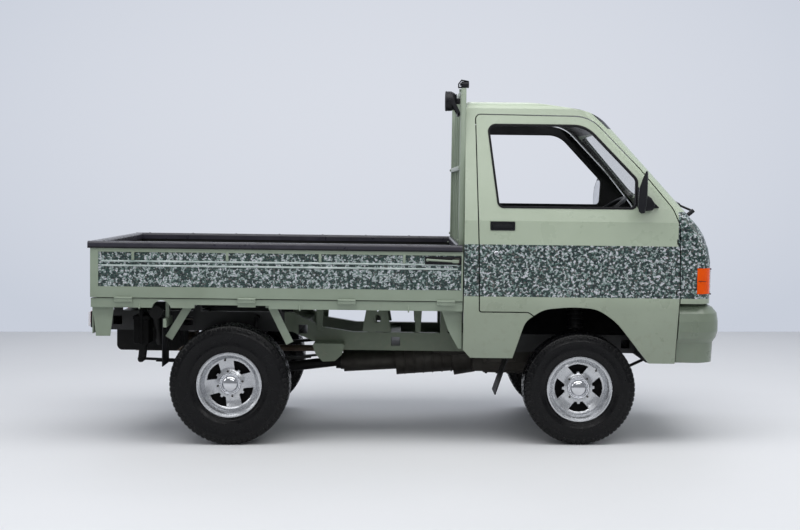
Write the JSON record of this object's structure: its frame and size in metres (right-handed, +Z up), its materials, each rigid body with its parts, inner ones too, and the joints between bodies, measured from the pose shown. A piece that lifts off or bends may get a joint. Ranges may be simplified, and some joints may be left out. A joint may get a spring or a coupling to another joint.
{
  "type": "kei truck",
  "caption": "Small cab-over utility truck with a drop-side bed, guard frame behind the cab, opening doors, steered front wheels and camouflage-painted lower panels.",
  "frame": {"origin": "on the ground under the middle of the truck's bounding box", "axes": "+X forward, +Y to the truck's left, +Z up"},
  "size_m": [3.2868, 1.724, 1.8406],
  "materials": {
    "body_paint": "see scene",
    "bed_paint": "see scene",
    "camouflage_paint": "see scene",
    "black_plastic": "see scene",
    "grey_trim": "see scene",
    "tyre": "see scene",
    "rim_metal": "see scene",
    "glass": "see scene",
    "lamp_clear": "see scene",
    "lamp_orange": "see scene",
    "lamp_red": "see scene",
    "seat_fabric": "see scene",
    "chassis_black": "see scene",
    "bare_iron": "see scene",
    "spring_steel": "see scene",
    "exhaust_steel": "see scene",
    "flap_rubber": "see scene",
    "mirror": "see scene",
    "switch_black": "see scene"
  },
  "bodies": {
    "truck": {"chassis_frame": "chassis_black", "cab_shell": "body_paint", "bumper_front": "body_paint", "grille": "black_plastic", "headlamps": "lamp_clear", "turn_lamps": "lamp_orange", "tail_lamps": "lamp_red", "windscreen": "glass", "rear_window": "glass", "wipers": "black_plastic", "dashboard": "grey_trim", "steering_column": "switch_black", "gear_lever": "switch_black", "seat_cushions": "seat_fabric", "seat_backs": "seat_fabric", "bed_deck": "bed_paint", "cap_front": "black_plastic", "guard_frame": "bed_paint", "work_lamp": "black_plastic", "power_unit": "bare_iron", "prop_shaft": "chassis_black", "rear_axle": "bare_iron", "rear_dampers": "spring_steel", "leaf_springs": "spring_steel", "exhaust": "exhaust_steel", "fuel_tank": "chassis_black", "front_suspension": "chassis_black", "front_struts": "spring_steel", "mudflaps": "flap_rubber"},
    "door_right": {"door_right": "body_paint", "handle_right": "black_plastic", "mirror_right": "mirror"},
    "door_left": {"door_left": "body_paint", "handle_left": "black_plastic", "mirror_left": "mirror"},
    "gate_right": {"gate_right": "camouflage_paint", "cap_right": "black_plastic"},
    "gate_left": {"gate_left": "camouflage_paint", "cap_left": "black_plastic"},
    "tailgate": {"tailgate": "camouflage_paint", "cap_rear": "black_plastic"},
    "knuckle_right": {"knuckle_right": "bare_iron"},
    "knuckle_left": {"knuckle_left": "bare_iron"},
    "steering_wheel": {"steering_wheel": "switch_black"},
    "wheel_front_right": {"rim_front_right": "rim_metal", "tyre_front_right": "tyre"},
    "wheel_front_left": {"rim_front_left": "rim_metal", "tyre_front_left": "tyre"},
    "wheel_rear_right": {"rim_rear_right": "rim_metal", "tyre_rear_right": "tyre"},
    "wheel_rear_left": {"rim_rear_left": "rim_metal", "tyre_rear_left": "tyre"}
  },
  "joints": [
    {"name": "door_right_hinge", "type": "hinge", "parent": "truck", "child": "door_right", "pos_m": [1.39784, -0.694, 0.88308], "axis": [0.0122, 0, 0.9999], "range_deg": [0, 65]},
    {"name": "door_left_hinge", "type": "hinge", "parent": "truck", "child": "door_left", "pos_m": [1.39784, 0.694, 0.88308], "axis": [-0.0122, 0, -0.9999], "range_deg": [0, 65]},
    {"name": "gate_right_hinge", "type": "hinge", "parent": "truck", "child": "gate_right", "pos_m": [-0.6609, -0.701, 0.75309], "axis": [0.9999, 0, -0.0122], "range_deg": [0, 165]},
    {"name": "gate_left_hinge", "type": "hinge", "parent": "truck", "child": "gate_left", "pos_m": [-0.6609, 0.701, 0.75309], "axis": [-0.9999, 0, 0.0122], "range_deg": [0, 165]},
    {"name": "tailgate_hinge", "type": "hinge", "parent": "truck", "child": "tailgate", "pos_m": [-1.62382, 0, 0.76479], "axis": [0, -1, 0], "range_deg": [0, 90]},
    {"name": "steer_right", "type": "hinge", "parent": "truck", "child": "knuckle_right", "pos_m": [0.89587, -0.53, 0.18912], "axis": [0.0118, 0.237, 0.9714], "range_deg": [-32, 32]},
    {"name": "steer_left", "type": "hinge", "parent": "truck", "child": "knuckle_left", "pos_m": [0.89587, 0.53, 0.18912], "axis": [0.0118, -0.237, 0.9714], "range_deg": [-32, 32]},
    {"name": "steering_wheel_turn", "type": "hinge", "parent": "truck", "child": "steering_wheel", "pos_m": [1.01421, -0.33, 1.16276], "axis": [-0.5636, 0, 0.8261], "range_deg": [-512, 512]},
    {"name": "wheel_front_right_spin", "type": "hinge", "parent": "knuckle_right", "child": "wheel_front_right", "pos_m": [0.89709, -0.59, 0.29], "axis": [0, 1, 0], "continuous": true},
    {"name": "wheel_front_left_spin", "type": "hinge", "parent": "knuckle_left", "child": "wheel_front_left", "pos_m": [0.89709, 0.59, 0.29], "axis": [0, 1, 0], "continuous": true},
    {"name": "wheel_rear_right_spin", "type": "hinge", "parent": "truck", "child": "wheel_rear_right", "pos_m": [-0.91278, -0.59, 0.312], "axis": [0, 1, 0], "continuous": true},
    {"name": "wheel_rear_left_spin", "type": "hinge", "parent": "truck", "child": "wheel_rear_left", "pos_m": [-0.91278, 0.59, 0.312], "axis": [0, 1, 0], "continuous": true}
  ],
  "couplings": [
    {"joint": "steer_left", "follows": "steer_right", "ratio": 1},
    {"joint": "steering_wheel_turn", "follows": "steer_right", "ratio": 16}
  ]
}
